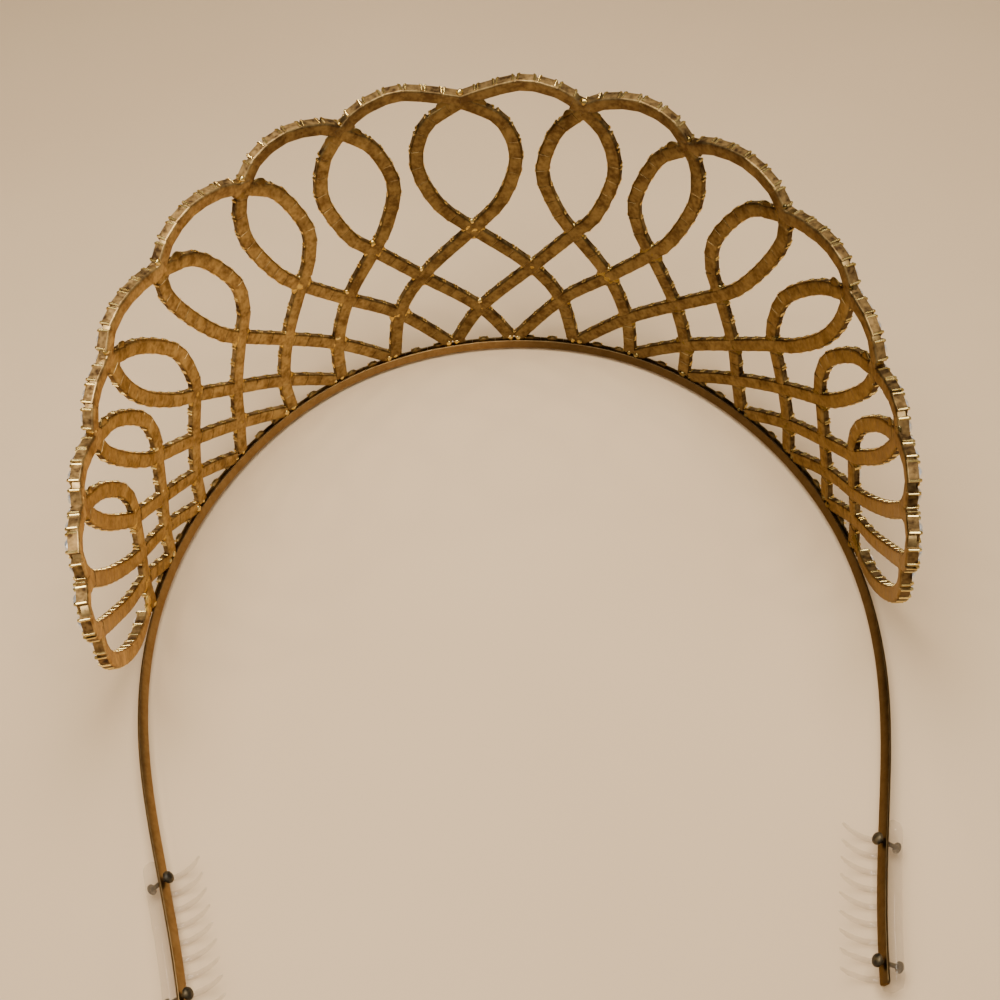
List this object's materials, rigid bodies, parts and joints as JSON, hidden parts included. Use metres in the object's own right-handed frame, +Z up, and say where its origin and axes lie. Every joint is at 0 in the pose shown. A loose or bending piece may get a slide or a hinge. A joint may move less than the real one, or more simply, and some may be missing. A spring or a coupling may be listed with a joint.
{
  "type": "tiara",
  "caption": "Rhinestone tiara: flat horseshoe headband, interlaced loops of cup chain, scalloped border, and a clear comb pinned to each end.",
  "frame": {"origin": "middle of the bounding box in plan, on the surface the tiara stands on", "axes": "+Z up, -Y towards the front of the tiara, +X towards the wearer's left"},
  "size_m": [0.143, 0.1568, 0.0709],
  "materials": {
    "gold_plate": "polished gold plate",
    "clear_plastic": "clear moulded plastic",
    "dark_pin": "dark bronze, satin",
    "rhinestone": "clear cut crystal with a silvered back"
  },
  "bodies": {
    "root": {"headband": "gold_plate", "base_chain": "gold_plate", "centre_loop": "gold_plate", "loop_lattice": "gold_plate", "scallop_border": "gold_plate", "comb_left": "clear_plastic", "comb_right": "clear_plastic", "pin_left_front": "dark_pin", "pin_left_back": "dark_pin", "pin_right_front": "dark_pin", "pin_right_back": "dark_pin"}
  },
  "joints": []
}
